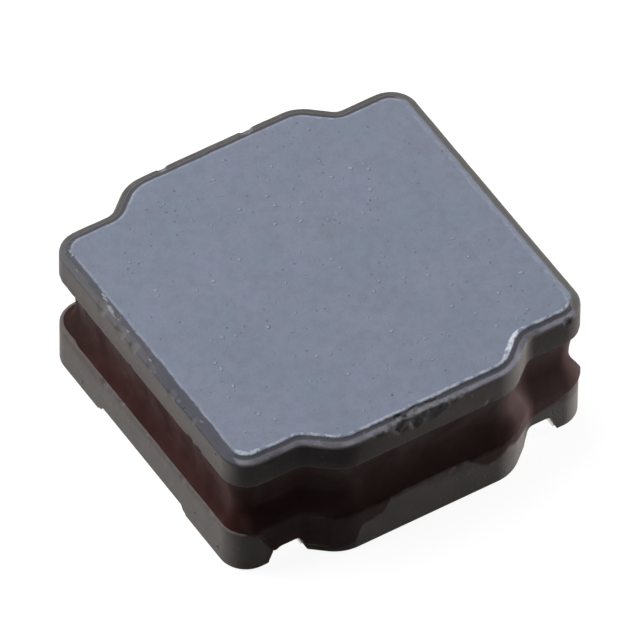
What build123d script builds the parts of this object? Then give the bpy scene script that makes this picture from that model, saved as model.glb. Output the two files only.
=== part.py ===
from build123d import *
import math
import os

os.makedirs("parts", exist_ok=True)

# A shielded surface-mount power inductor of the 3.0 x 3.0 x 1.2 mm size
# One wire is wound on the post of a ferrite drum core. Resin loaded with magnetic powder fills the gap
# between the two flanges, which shields the coil. The wire's ends run down the pockets at one side into
# two grooves under the bottom flange, where they are soldered to the plated terminals.
# Frame: millimetres, +Z up, origin in the middle of the footprint on the board's surface.
# The terminals lie at -X and +X, and the stepped sides of the flanges face -Y and +Y.

# Body
body_length = 3.0  # along X, over the terminal ends
body_width = 3.0  # along Y, over the middle of the stepped sides
body_height = 1.175
top_flange_share = 0.228  # of the body's height
bottom_flange_share = 0.3294

# Plan outline of both flanges
corner_radius = 0.217
pocket_depth = 0.205  # how far the corners are stepped back along Y
pocket_corner_x = 0.958  # from the middle to the inner corner of a pocket
shoulder_x = 0.715  # from the middle to the corner where the ramp meets the full width
pocket_corner_radius = 0.14
shoulder_radius = 0.34

# Edges worn by tumbling
top_bevel_width = 0.092
top_bevel_depth = 0.017
edge_break = 0.02
foot_break = 0.03

# Post
post_root_slope = 0.035

# Grooves under the bottom flange, which run along Y
groove_x = 1.0725
groove_mouth_width = 0.31
groove_roof_width = 0.22
groove_depth = 0.173
groove_roof_radius = 0.05

# Reliefs at the outer edges, which leave a foot at each corner
relief_mouth_length = 1.26
relief_roof_length = 1.04
relief_depth = 0.079
relief_roof_radius = 0.06

# Terminals
terminal_thickness = 0.012
terminal_margin = 0.05  # from the flange's sides, so that it stays on the flat of the feet
terminal_reach = 0.88  # from the end of the body towards the middle

# Wire
wire_diameter = 0.12
insulation_gap = 0.01  # between the wire and what it lies on
coil_gap = 0.03  # between the outer layer and the resin ring
coil_margin = 0.146  # from the outer layer to the nearest side of the flanges
layer_count = 4
least_turn_gap = 0.003
corners_per_turn = 4  # runs of the path in one turn, each joined to the next by an arc
wire_sides = 8  # the round wire is drawn with flats, because it has so many bends
largest_arc_share = 0.49  # how much of a run one arc may take
lead_bend_radius = 0.09
lead_end_y = -0.6  # where the soldered end of each lead stops

# Resin
resin_edge_inset = 0.025  # how far the resin lies inside the flange edges where it meets them
resin_waist_depth = 0.058  # how much further in it lies halfway between the flanges
resin_sections = 5  # levels of the ring's outline, from flange to flange
lead_cover = 0.03  # resin outside a lead
lead_fit_gap = 0.005  # round a lead, in the resin and in the solder
resin_shoulder = 0.06  # above the flange's edge, where resin on the flange's side has its full cover
resin_rise = 0.24  # above the flange's edge, where that resin has gone into the ring
resin_root = 0.3  # how far it reaches in behind the flange's side
groove_clearance = 0.005  # between a groove and the resin round it

# Runs of resin over the leads, at +Y
run_width = 0.28
run_foot_width = 0.22
run_foot_share = 0.92  # how much of its cover a run still has at its foot
run_corner_radius = 0.1

# Skins of resin that ran down over the bottom flange at -Y, one in each pocket
skin_cover = 0.025
skin_end_margin = 0.13  # from the end of the body to the skin, at the flange's upper edge
skin_shoulder_overlap = 0.035  # past the corner where the ramp meets the full width
skin_lean = 0.1  # how much narrower the skin is at each end where it goes into the ring
left_skin_drops = (0.62, 0.84, 0.86)  # of the flange's thickness: over the groove, at the corner, on the ramp
right_skin_drops = (0.2, 0.32, 0.18)

# Solder
solder_floor = 0.015  # above the board
solder_start_y = -0.85
solder_end_y = 1.14

# Heights and levels
top_flange_thickness = body_height * top_flange_share
bottom_flange_thickness = body_height * bottom_flange_share
flange_underside = terminal_thickness
window_bottom = flange_underside + bottom_flange_thickness
window_top = body_height - top_flange_thickness
window_height = window_top - window_bottom
pocket_wall_y = body_width / 2 - pocket_depth

# The layers of wire take their room inwards from the nearest side, and the post has what is left
wire_radius = wire_diameter / 2
wire_standoff = wire_radius + insulation_gap
layer_step = wire_diameter + least_turn_gap
winding_radius = min(body_length / 2, pocket_wall_y) - coil_margin
last_layer_radius = winding_radius - wire_radius
first_layer_radius = last_layer_radius - (layer_count - 1) * layer_step
post_radius = first_layer_radius - wire_standoff

# How far each corner of the outline slides along X for each millimetre of inset
ramp_angle = math.atan2(pocket_depth, pocket_corner_x - shoulder_x)
slide_rate = math.tan(ramp_angle / 2)


def flange_outline(inset=0.0):
    """Plan outline of a flange, moved in by inset, with its corners at ±X and pockets at ±Y."""
    end_x = body_length / 2 - inset
    back_y = pocket_wall_y - inset
    front_y = body_width / 2 - inset
    inner_x = pocket_corner_x - inset * slide_rate
    outer_x = shoulder_x - inset * slide_rate
    quarter = [
        (end_x, back_y, corner_radius - inset),
        (inner_x, back_y, max(pocket_corner_radius + inset, 0)),
        (outer_x, front_y, shoulder_radius - inset),
    ]
    corners = quarter + [(-x, y, r) for x, y, r in reversed(quarter)]
    corners += [(-x, -y, r) for x, y, r in quarter]
    corners += [(x, -y, r) for x, y, r in reversed(quarter)]
    with BuildLine() as outline:
        FilletPolyline(
            *[(x, y) for x, y, r in corners],
            radius=[r for x, y, r in corners],
            close=True,
        )
    make_face(outline.edges())


def channel_section(middle, mouth, roof, depth, roof_radius, lining=0.0):
    """Section of a groove or relief, up from the board's surface, narrowed by the lining's thickness."""
    lean = (mouth - roof) / 2 / depth
    half_roof = roof / 2 - lining
    half_mouth = half_roof + lean * (depth + terminal_thickness)
    roof_z = flange_underside + depth - lining
    left, right = (middle - half_mouth, 0), (middle + half_mouth, 0)
    with BuildLine() as section:
        FilletPolyline(
            left,
            (middle - half_roof, roof_z),
            (middle + half_roof, roof_z),
            right,
            radius=roof_radius - lining,
        )
        Line(right, left)
    make_face(section.edges())


def groove_section(middle, lining=0.0):
    channel_section(
        middle, groove_mouth_width, groove_roof_width, groove_depth, groove_roof_radius, lining
    )


def relief_section(lining=0.0):
    channel_section(
        0, relief_mouth_length, relief_roof_length, relief_depth, relief_roof_radius, lining
    )


# Drum core: one ferrite piece
with BuildPart() as drum_core:
    with BuildSketch(Plane.XY.offset(flange_underside)):
        flange_outline()
    extrude(amount=bottom_flange_thickness)
    chamfer(drum_core.edges().group_by(Axis.Z)[0], foot_break)
    chamfer(drum_core.edges().group_by(Axis.Z)[-1], edge_break)
    for side in (-1, 1):
        with BuildSketch(Plane.XZ):
            groove_section(side * groove_x)
        extrude(amount=body_width, both=True, mode=Mode.SUBTRACT)
        with BuildSketch(Plane.YZ.offset(side * groove_x)):
            relief_section()
        extrude(amount=side * body_length, mode=Mode.SUBTRACT)
    with BuildSketch(Plane.XY.offset(window_bottom)):
        Circle(post_radius)
    extrude(amount=window_height)
    with BuildSketch(Plane.XY.offset(window_top)):
        flange_outline()
    extrude(amount=top_flange_thickness - top_bevel_depth)
    with BuildSketch(Plane.XY.offset(body_height - top_bevel_depth)):
        flange_outline()
    with BuildSketch(Plane.XY.offset(body_height)):
        flange_outline(top_bevel_width)
    loft(ruled=True)
    window_roof = drum_core.faces().sort_by(lambda face: abs(face.center().Z - window_top))[0]
    post = drum_core.faces().filter_by(GeomType.CYLINDER).sort_by(SortBy.AREA)[-1]
    chamfer(window_roof.outer_wire().edges(), edge_break)
    chamfer(post.edges().filter_by(GeomType.CIRCLE), post_root_slope)
drum_core.part.label = "drum_core"
export_step(drum_core.part, "parts/drum_core.step")

# Route of the wire's centre line
groove_lining_z = flange_underside + groove_depth - terminal_thickness
lead_z_in_groove = groove_lining_z - wire_standoff
lead_z_on_flange = window_bottom + wire_standoff
lead_y = pocket_wall_y + wire_standoff

# Each lead is tangent to its layer, and the first lies under the lowest turn of the layers outside it
lead_distance = math.hypot(groove_x, lead_y)
lead_bearing = math.degrees(math.atan2(lead_y, groove_x))
start_angle = 180 - lead_bearing + math.degrees(math.acos(first_layer_radius / lead_distance))
end_angle = lead_bearing - math.degrees(math.acos(last_layer_radius / lead_distance))
layer_top = window_top - wire_standoff
layer_bottom = lead_z_on_flange + layer_step
first_climb = layer_top - lead_z_on_flange
later_climb = layer_top - layer_bottom
total_climb = first_climb + (layer_count - 1) * later_climb

# Whole turns, as many as the window holds, and the part of a turn that brings the end to its lead
part_turn = ((end_angle - start_angle) % 360) / 360
whole_turns = math.floor(total_climb / layer_step - part_turn)
turn_total = whole_turns + part_turn
corner_count = round(turn_total * corners_per_turn)
corner_step = 360 * turn_total / corner_count


def height_and_layer(climbed):
    """Height of the wire and its layer after it has travelled this far up and down the window."""
    if climbed <= first_climb:
        return lead_z_on_flange + climbed, 0
    layer = min(int((climbed - first_climb) // later_climb) + 1, layer_count - 1)
    along = climbed - first_climb - (layer - 1) * later_climb
    if layer % 2 == 1:
        return layer_top - along, layer
    return layer_bottom + along, layer


def winding_corners():
    """Corners of the route round the post, each with the bend that it is limited to."""
    corners = []
    for index in range(corner_count):
        angle = math.radians(start_angle + (index + 0.5) * corner_step)
        height, layer = height_and_layer(total_climb * (index + 0.5) / corner_count)
        radius = (first_layer_radius + layer * layer_step) / math.cos(math.radians(corner_step / 2))
        point = Vector(radius * math.cos(angle), radius * math.sin(angle), height)
        corners.append((point, math.inf))
    return corners


def lead_corners(side):
    """Corners of the route from the soldered end of a lead to where it crosses the flange."""
    return [
        (Vector(side * groove_x, lead_end_y, lead_z_in_groove), lead_bend_radius),
        (Vector(side * groove_x, lead_y, lead_z_in_groove), lead_bend_radius),
        (Vector(side * groove_x, lead_y, lead_z_on_flange), lead_bend_radius),
    ]


def rounded_route(corners):
    """The route with an arc at each corner, as large as its bend limit and its runs allow."""
    radii = []
    for (before, _), (here, limit), (after, _) in zip(corners, corners[1:], corners[2:]):
        run = min((here - before).length, (after - here).length)
        half_turn = math.radians((here - before).get_angle(after - here)) / 2
        radii.append(min(limit, largest_arc_share * run / math.tan(half_turn)))
    with BuildLine() as line:
        FilletPolyline(*[point for point, limit in corners], radius=radii)
    return line.wires()[0]


def wire_solid(corners, radius):
    """The wire, or the space for it, along a rounded route, with the corners of its flats at radius."""
    route = rounded_route(corners)
    with BuildPart() as solid:
        with BuildSketch(Plane(route @ 0, z_dir=route % 0)):
            RegularPolygon(radius, wire_sides)
        sweep(path=route)
    return solid.part


# Winding: one enamelled wire with both its leads
coil_corners = winding_corners()
with BuildPart() as winding:
    add(wire_solid(lead_corners(-1) + coil_corners + lead_corners(1)[::-1], wire_radius))
winding.part.label = "winding"
export_step(winding.part, "parts/winding.step")

# Space round the leads, which the resin and the solder leave to the wire
space_radius = (wire_radius + lead_fit_gap) / math.cos(math.pi / wire_sides)
lead_spaces = [
    wire_solid(lead_corners(side) + [nearest_corner], space_radius)
    for side, nearest_corner in ((-1, coil_corners[0]), (1, coil_corners[-1]))
]

# Resin fill: a ring with a hollowed side, which goes over the leads at +Y and down the flange at -Y
bore_radius = winding_radius + coil_gap
lead_run_cover = 2 * wire_standoff + lead_cover
resin_waist_inset = resin_edge_inset + resin_waist_depth
root_y = pocket_wall_y - resin_root


def lead_run(side):
    """Resin that covers a lead on the flange's side, and goes into the ring at its top."""
    stations = [
        (flange_underside + groove_depth + groove_clearance, run_foot_width, lead_run_cover * run_foot_share),
        (window_bottom - resin_shoulder, run_width, lead_run_cover),
        (window_bottom + resin_shoulder, run_width, lead_run_cover),
        (window_bottom + resin_rise, run_width, -resin_waist_inset),
    ]
    with BuildPart() as run:
        for z, width, stand_out in stations:
            outer_y = pocket_wall_y + stand_out
            with BuildSketch(Plane.XY.offset(z)):
                with Locations((side * groove_x, (outer_y + root_y) / 2)):
                    RectangleRounded(width, outer_y - root_y, run_corner_radius)
        loft(ruled=True)
    return run.part


def flange_skin(side, drops):
    """Resin that ran down over a pocket and its ramp: an even skin, cut to the edge where it stopped."""
    end_x = body_length / 2 - skin_end_margin
    inner_x = shoulder_x - skin_shoulder_overlap
    turns = (groove_x + groove_roof_width / 2, pocket_corner_x, inner_x)
    edge = [(end_x - skin_lean, window_bottom + resin_rise), (end_x, window_bottom)]
    edge += [(x, window_bottom - drop * bottom_flange_thickness) for x, drop in zip(turns, drops)]
    edge += [(inner_x, window_bottom), (inner_x + skin_lean, window_bottom + resin_rise)]
    with BuildPart() as skin:
        with BuildSketch(Plane.XY.offset(flange_underside)):
            flange_outline(-skin_cover)
        extrude(amount=bottom_flange_thickness + resin_shoulder)
        with BuildSketch(Plane.XY.offset(window_bottom + resin_shoulder)):
            flange_outline(-skin_cover)
        with BuildSketch(Plane.XY.offset(window_bottom + resin_rise)):
            flange_outline(resin_waist_inset)
        loft(ruled=True)
        with BuildSketch(Plane.XZ.offset(root_y)):
            with BuildLine() as border:
                Polyline(*[(side * x, z) for x, z in edge], close=True)
            make_face(border.edges())
        extrude(amount=body_width / 2 - root_y, mode=Mode.INTERSECT)
        with BuildSketch(Plane.XZ):
            groove_section(side * groove_x, -groove_clearance)
        extrude(amount=body_width, both=True, mode=Mode.SUBTRACT)
    return skin.part


resin_on_flange = [lead_run(-1), lead_run(1)]
resin_on_flange += [flange_skin(-1, left_skin_drops), flange_skin(1, right_skin_drops)]

with BuildPart() as resin_fill:
    for level in range(resin_sections):
        share = level / (resin_sections - 1)
        waist = 1 - (2 * share - 1) ** 2
        with BuildSketch(Plane.XY.offset(window_bottom + share * window_height)):
            flange_outline(resin_edge_inset + resin_waist_depth * waist)
    loft(ruled=True)
    add(resin_on_flange)
    with BuildSketch(Plane.XY.offset(window_bottom)):
        Circle(bore_radius)
    extrude(amount=window_height, mode=Mode.SUBTRACT)
    add(drum_core.part, mode=Mode.SUBTRACT)
    add(lead_spaces, mode=Mode.SUBTRACT)
resin_fill.part.label = "resin_fill"
export_step(resin_fill.part, "parts/resin_fill.step")

# Terminals: one plated film each, which follows the feet, the groove and the relief
film_reach = body_length / 2 - terminal_margin - groove_x
film_half_width = pocket_wall_y - terminal_margin

for side, name in ((-1, "terminal_left"), (1, "terminal_right")):
    with BuildPart() as terminal:
        with BuildSketch(Plane.XY):
            flange_outline(terminal_margin)
            with Locations((side * (body_length - terminal_reach) / 2, 0)):
                Rectangle(terminal_reach, 2 * film_half_width, mode=Mode.INTERSECT)
        extrude(amount=terminal_thickness)
        with BuildSketch(Plane.XZ):
            groove_section(side * groove_x)
        extrude(amount=film_half_width, both=True)
        with BuildSketch(Plane.YZ.offset(side * groove_x)):
            relief_section()
        extrude(amount=side * film_reach)
        with BuildSketch(Plane.XZ):
            groove_section(side * groove_x, terminal_thickness)
        extrude(amount=body_width, both=True, mode=Mode.SUBTRACT)
        with BuildSketch(Plane.YZ.offset(side * groove_x)):
            relief_section(terminal_thickness)
        extrude(amount=side * body_length, mode=Mode.SUBTRACT)
    terminal.part.label = name
    export_step(terminal.part, f"parts/{name}.step")

# Solder: one bead in each groove, round the wire's end
for side, name, space in zip((-1, 1), ("solder_left", "solder_right"), lead_spaces):
    with BuildPart() as solder:
        with BuildSketch(Plane.XZ.offset(-solder_end_y)):
            groove_section(side * groove_x, terminal_thickness)
            with Locations((side * groove_x, solder_floor / 2)):
                Rectangle(groove_mouth_width, solder_floor, mode=Mode.SUBTRACT)
        extrude(amount=solder_end_y - solder_start_y)
        add(space, mode=Mode.SUBTRACT)
    solder.part.label = name
    export_step(solder.part, f"parts/{name}.step")
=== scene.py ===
# %% [markdown]
# # Looks for a shielded surface-mount inductor
# The part is about 3 mm square and a bit over 1 mm tall. Its shapes and sizes come from the CAD model,
# which is loaded first and stays fixed. This script then lays rounded, worn and chipped surfaces over
# it, gives every piece a finish made of nodes, and sets the camera where the photograph was taken.

# %% Load the fixed CAD frame
import math

import bmesh
import bpy
import numpy as np
from mathutils import Matrix, Vector, kdtree, noise


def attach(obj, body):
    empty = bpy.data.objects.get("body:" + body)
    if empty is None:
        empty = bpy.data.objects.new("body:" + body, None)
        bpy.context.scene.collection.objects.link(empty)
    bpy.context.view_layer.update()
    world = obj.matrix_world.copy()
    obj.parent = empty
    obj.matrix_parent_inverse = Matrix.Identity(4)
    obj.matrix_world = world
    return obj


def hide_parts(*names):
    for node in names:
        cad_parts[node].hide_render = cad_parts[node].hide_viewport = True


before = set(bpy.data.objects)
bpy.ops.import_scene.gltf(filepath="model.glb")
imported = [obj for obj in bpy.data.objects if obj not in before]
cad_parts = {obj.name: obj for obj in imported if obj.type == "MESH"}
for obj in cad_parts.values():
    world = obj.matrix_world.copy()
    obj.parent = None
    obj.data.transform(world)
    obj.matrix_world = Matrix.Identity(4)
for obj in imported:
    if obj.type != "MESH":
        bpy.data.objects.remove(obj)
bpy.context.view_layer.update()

MM = 0.001
print("nodes", sorted(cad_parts))

# %% [markdown]
# ## Sizes of the real object
# The surfaces below are drawn in millimetres and turned into metres at the end. The outline of both
# flanges is a square with its corners stepped back on two opposite sides. Each size is written once
# here, with the same value that the CAD model has.

# %% Sizes in millimetres
half_length = 1.5
half_width = 1.5
body_top = 1.175
window_top = 0.907
window_bottom = 0.399
ferrite_floor = 0.012
pocket_depth = 0.205
pocket_corner_x = 0.958
shoulder_x = 0.715
corner_radius = 0.217
pocket_corner_radius = 0.14
shoulder_radius = 0.34
post_radius = 0.65
groove_x = 1.0725
pocket_wall_y = half_width - pocket_depth
print("window for the coil", round(window_top - window_bottom, 3), "mm high")

# %% [markdown]
# ## The outline, walked once round
# Every surface of this part follows the same outline, only moved in or out a little. So the outline is
# sampled once, as points that each keep the direction pointing straight out of the body. A ring that
# lies further in is then the same points, pushed back along those directions. This keeps the number
# of points equal in all rings, which is what lets two rings be joined by a clean strip of quads.


# %% Round one corner
def fillet(before, corner, after, radius, steps):
    """Points and outward directions of the arc that rounds one corner, walking anticlockwise."""
    a = (Vector(before) - Vector(corner)).normalized()
    b = (Vector(after) - Vector(corner)).normalized()
    half = a.angle(b) / 2
    centre = Vector(corner) + (a + b).normalized() * radius / math.sin(half)
    turn = a.x * b.y - a.y * b.x
    sign = -1 if turn > 0 else 1
    start = Vector(corner) + a * radius / math.tan(half) - centre
    end = Vector(corner) + b * radius / math.tan(half) - centre
    swing = start.angle_signed(end) * -1
    arc = []
    for step in range(steps + 1):
        spin = swing * step / steps
        c, s = math.cos(spin), math.sin(spin)
        arm = Vector((start.x * c - start.y * s, start.x * s + start.y * c))
        arc.append((centre + arm, arm.normalized() * sign))
    return arc


print("points on a test arc", len(fillet((1, 0), (1, 1), (0, 1), 0.2, 8)))


# %% Walk the whole outline
def walk_outline(run_step=0.013, arc_step=0.013):
    """Points of the flange's outline, anticlockwise from the +X side, with outward directions."""
    quarter = [
        (half_length, pocket_wall_y, corner_radius),
        (pocket_corner_x, pocket_wall_y, pocket_corner_radius),
        (shoulder_x, half_width, shoulder_radius),
    ]
    corners = quarter + [(-x, y, r) for x, y, r in reversed(quarter)]
    corners += [(-x, -y, r) for x, y, r in quarter]
    corners += [(x, -y, r) for x, y, r in reversed(quarter)]
    arcs = []
    for i, (x, y, r) in enumerate(corners):
        before, after = corners[i - 1], corners[(i + 1) % len(corners)]
        steps = max(8, round(r * 1.2 / arc_step))
        arcs.append(fillet(before[:2], (x, y), after[:2], r, steps))
    points, outward = [], []
    for i, arc in enumerate(arcs):
        following = arcs[(i + 1) % len(arcs)]
        for point, direction in arc:
            points.append(point)
            outward.append(direction)
        run_start, run_end = arc[-1][0], following[0][0]
        pieces = max(1, round((run_end - run_start).length / run_step))
        for step in range(1, pieces):
            points.append(run_start.lerp(run_end, step / pieces))
            outward.append(arc[-1][1])
    return np.array([tuple(p) for p in points]), np.array([tuple(d) for d in outward])


edge_points, edge_outward = walk_outline()
print("outline samples", len(edge_points), "x", edge_points[:, 0].max(), "y", edge_points[:, 1].max())

# %% [markdown]
# ## Rings into surfaces
# A flange could be extruded and then bevelled, but a bevel has one width all round, and here it is wide
# on one side and stepped on another. So a flange is a stack of rings instead: each ring says how far
# it lies inside the outline and how high, and both may change from point to point.


# %% Build a closed surface from rings
def ring(inset, height):
    """One ring: the outline moved in by inset, at a height. Both are numbers or arrays."""
    place = edge_points - edge_outward * np.reshape(np.broadcast_to(inset, len(edge_points)), (-1, 1))
    return np.column_stack([place, np.broadcast_to(height, len(edge_points))])


def surface_from_rings(name, rings):
    """A closed mesh from rings with equal numbers of points, lowest first, capped at both ends."""
    count = len(rings[0])
    verts = np.vstack(rings)
    faces = [tuple(reversed(range(count)))]
    for level in range(len(rings) - 1):
        low, high = level * count, (level + 1) * count
        for i in range(count):
            j = (i + 1) % count
            faces.append((low + i, low + j, high + j, high + i))
    faces.append(tuple(range((len(rings) - 1) * count, len(rings) * count)))
    mesh = bpy.data.meshes.new(name)
    mesh.from_pydata(verts.tolist(), [], faces)
    mesh.update()
    piece = bpy.data.objects.new(name, mesh)
    bpy.context.collection.objects.link(piece)
    return piece


print("points in one ring", len(ring(0.0, 0.0)))

# %% [markdown]
# ## The ferrite core
# The real core is pressed from powder, fired and tumbled. The press leaves a rim round the top: on the
# two straight sides it is one shallow slope, and on the two stepped sides it is a small step with a
# flat ledge outside it. Tumbling then rounds what is left. Both forms are profiles over the same rings,
# and each point of the outline takes a share of the two, by the way it faces.


# %% Share of each profile round the outline
def smooth(value, low, high):
    """0 below low, 1 above high, and a soft ramp between."""
    t = np.clip((value - low) / (high - low), 0, 1)
    return t * t * (3 - 2 * t)


stepped = smooth(np.abs(edge_outward[:, 1]), 0.25, 0.70)


def blend_profile(on_x_sides, on_y_sides):
    """One ring whose inset and height go from one profile to the other, by the way the side faces."""
    inset = on_x_sides[0] * (1 - stepped) + on_y_sides[0] * stepped
    height = on_x_sides[1] * (1 - stepped) + on_y_sides[1] * stepped
    return ring(inset, height)


print("share of the stepped profile", stepped.min(), "to", stepped.max())

# %% [markdown]
# ## The top flange
# A profile is a list of pairs: how far in from the outline, and how high against the top face. The
# plain rings below the rim lie close together, so that chips can be pressed into them later. The
# lowest rings turn in under the flange and end out of sight behind the resin.


# %% Build the top flange
def rounded(start, end, steps=4):
    """Insets and heights of a quarter round from start to end, which leaves start vertically."""
    (inset_a, z_a), (inset_b, z_b) = start, end
    out = []
    for step in range(steps + 1):
        angle = math.pi / 2 * step / steps
        out.append((inset_a + (inset_b - inset_a) * (1 - math.cos(angle)),
                    z_a + (z_b - z_a) * math.sin(angle)))
    return out


top_edge_x = [(0.0, -0.040), (0.001, -0.031), (0.005, -0.024), (0.012, -0.0185), (0.022, -0.015),
              (0.040, -0.0115), (0.058, -0.0075), (0.072, -0.0042), (0.083, -0.0016), (0.090, -0.0003),
              (0.096, 0.0), (0.115, 0.0), (0.150, 0.0)]
top_edge_y = [(0.0, -0.042), (0.001, -0.034), (0.004, -0.027), (0.010, -0.0215), (0.018, -0.0185),
              (0.034, -0.0172), (0.054, -0.0160), (0.070, -0.0140), (0.079, -0.0100), (0.088, -0.0035),
              (0.097, -0.0002), (0.115, 0.0), (0.150, 0.0)]
cap_inset = 0.16
under_round, under_rise = 0.026, 0.022
plain_rings = 9

top_rings = [ring(cap_inset, window_top), ring(0.06, window_top)]
top_rings += [ring(i, z) for i, z in
              reversed(rounded((0.0, window_top + under_rise), (under_round, window_top)))]
top_rings += [ring(0.0, z) for z in np.linspace(window_top + 0.04, body_top - 0.055, plain_rings)]
top_rings += [
    blend_profile((x[0], body_top + x[1]), (y[0], body_top + y[1]))
    for x, y in zip(top_edge_x, top_edge_y)
]
top_flange = surface_from_rings("top_flange", top_rings)
print("top flange", len(top_rings), "rings,", len(top_flange.data.polygons), "faces")

# %% [markdown]
# ## The bottom flange
# It has the same outline and only small rounded edges, one at the foot and one where the resin starts.
# Its underside stands as high above the board as the plating is thick.

# %% Build the bottom flange
foot_round, foot_rise = 0.018, 0.022
ridge_round, ridge_rise = 0.020, 0.020
edge_steps = 5

low_rings = [ring(cap_inset, ferrite_floor), ring(0.04, ferrite_floor)]
low_rings += [ring(i, z) for i, z in
              reversed(rounded((0.0, ferrite_floor + foot_rise), (foot_round, ferrite_floor), edge_steps))]
low_rings += [ring(0.0, z) for z in np.linspace(ferrite_floor + 0.036, window_bottom - 0.035, 12)]
low_rings += [ring(i, z) for i, z in
              rounded((0.0, window_bottom - ridge_rise), (ridge_round, window_bottom), edge_steps)]
low_rings += [ring(0.07, window_bottom), ring(cap_inset, window_bottom)]
low_flange = surface_from_rings("low_flange", low_rings)
print("bottom flange", len(low_rings), "rings,", len(low_flange.data.polygons), "faces")

# %% [markdown]
# ## Grooves and reliefs
# The bottom flange stands on four feet: a groove runs through it near each end for the wire, and a
# shallow relief cuts the middle out of each end. They could be drawn into the rings, but their edges
# would then wander from ring to ring. Closed shapes and the Boolean modifier keep them straight. The
# mouths of the cutting shapes flare, so the cut leaves rounded edges.


# %% Push a flat section into a closed shape
def recalculate_outside(piece):
    """Turn all faces of a closed mesh outwards."""
    work = bmesh.new()
    work.from_mesh(piece.data)
    bmesh.ops.recalc_face_normals(work, faces=work.faces)
    work.to_mesh(piece.data)
    work.free()


def prism(name, section, axis, start, end):
    """A closed prism: a section of (across, up) points, pushed along the x or the y axis."""
    near, far = [], []
    for across, up in section:
        near.append((start, across, up) if axis == "x" else (across, start, up))
        far.append((end, across, up) if axis == "x" else (across, end, up))
    count = len(section)
    faces = [tuple(range(count)), tuple(reversed(range(count, 2 * count)))]
    faces += [(i, count + i, count + (i + 1) % count, (i + 1) % count) for i in range(count)]
    mesh = bpy.data.meshes.new(name)
    mesh.from_pydata(near + far, [], faces)
    mesh.update()
    piece = bpy.data.objects.new(name, mesh)
    bpy.context.collection.objects.link(piece)
    recalculate_outside(piece)
    return piece


# %% Cut or join two closed shapes
def apply_boolean(target, tool, operation):
    """Join or cut target with tool, keep the result in target's mesh and delete the tool."""
    step = target.modifiers.new("boolean", "BOOLEAN")
    step.operation, step.object, step.solver = operation, tool, "EXACT"
    bpy.context.view_layer.update()
    graph = bpy.context.evaluated_depsgraph_get()
    result = bpy.data.meshes.new_from_object(target.evaluated_get(graph))
    target.modifiers.clear()
    target.data = result
    print(operation.lower(), tool.name, "leaves", len(result.vertices), "vertices")
    bpy.data.objects.remove(tool)


# %% Cut the grooves and the reliefs
flare_steps, roof_steps = 8, 6


def channel(middle, half_mouth, half_roof, roof_z, roof_radius, flare):
    """Section of a channel with a round-cornered roof and a flared mouth, closed below the part."""
    def one_side(sign):
        side = [(middle + sign * (half_mouth + flare), ferrite_floor - 0.05),
                (middle + sign * (half_mouth + flare), ferrite_floor)]
        for step in range(1, flare_steps + 1):
            angle = math.pi / 2 * step / flare_steps
            side.append((middle + sign * (half_mouth + flare * (1 - math.sin(angle))),
                         ferrite_floor + flare * (1 - math.cos(angle))))
        for step in range(roof_steps + 1):
            angle = math.pi / 2 * step / roof_steps
            side.append((middle + sign * (half_roof - roof_radius * (1 - math.cos(angle))),
                         roof_z - roof_radius * (1 - math.sin(angle))))
        return side
    return one_side(1) + list(reversed(one_side(-1)))


groove_half_mouth, groove_half_roof, groove_roof = 0.146, 0.115, 0.185
groove_roof_radius, groove_flare = 0.062, 0.036
relief_half_mouth, relief_half_roof, relief_roof = 0.60, 0.56, 0.091
relief_roof_radius, relief_flare = 0.035, 0.03
past_the_end = 2


def groove_tool(side, room=0.0):
    """The shape that cuts one groove, wider all round by room."""
    section = channel(side * groove_x, groove_half_mouth + room, groove_half_roof + room,
                      groove_roof + room, groove_roof_radius, groove_flare)
    return prism("groove_tool", section, "y", -past_the_end, past_the_end)


for side in (-1, 1):
    apply_boolean(low_flange, groove_tool(side), "DIFFERENCE")
    relief = channel(0.0, relief_half_mouth, relief_half_roof, relief_roof, relief_roof_radius,
                     relief_flare)
    relief_tool = prism("relief_tool", relief, "x", side * groove_x, side * past_the_end)
    apply_boolean(low_flange, relief_tool, "DIFFERENCE")

# %% [markdown]
# ## The post
# A round post between the flanges carries the coil. The resin hides it, but the core is one fired
# piece, so it has to be there. A cylinder would do, but a section of radii and heights that is turned
# round the axis also gives it the small flares at both ends. It is then joined to both flanges.

# %% Turn the post and join the core
post_foot = post_radius + 0.03
post_section = [(0.02, window_bottom - 0.05), (post_foot, window_bottom - 0.02),
                (post_foot, window_bottom), (post_radius, window_bottom + 0.035),
                (post_radius, window_top - 0.035), (post_foot, window_top),
                (post_foot, window_top + 0.02), (0.02, window_top + 0.05)]
turns = 96
post_verts = [(r * math.cos(2 * math.pi * t / turns), r * math.sin(2 * math.pi * t / turns), z)
              for r, z in post_section for t in range(turns)]
post_faces = [(k * turns + t, k * turns + (t + 1) % turns, (k + 1) * turns + (t + 1) % turns,
               (k + 1) * turns + t) for k in range(len(post_section) - 1) for t in range(turns)]
post_faces += [tuple(reversed(range(turns))),
               tuple(range((len(post_section) - 1) * turns, len(post_section) * turns))]
post_mesh = bpy.data.meshes.new("post")
post_mesh.from_pydata(post_verts, [], post_faces)
post = bpy.data.objects.new("post", post_mesh)
bpy.context.collection.objects.link(post)
recalculate_outside(post)
apply_boolean(low_flange, post, "UNION")
apply_boolean(low_flange, top_flange, "UNION")
core = low_flange
core.name = "ferrite_core"
core.data.name = "ferrite_core"
print("core after the cuts", len(core.data.vertices), "vertices")

# %% [markdown]
# ## A point's place on the outline
# Wear and paint both depend on how far in from the nearest side a point lies. A k-d tree finds the
# nearest sample of the outline, and the direction kept with that sample turns the gap into a depth.

# %% Measure the depth inside the outline
outline_tree = kdtree.KDTree(len(edge_points))
for index, (x, y) in enumerate(edge_points):
    outline_tree.insert((x, y, 0), index)
outline_tree.balance()


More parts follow.
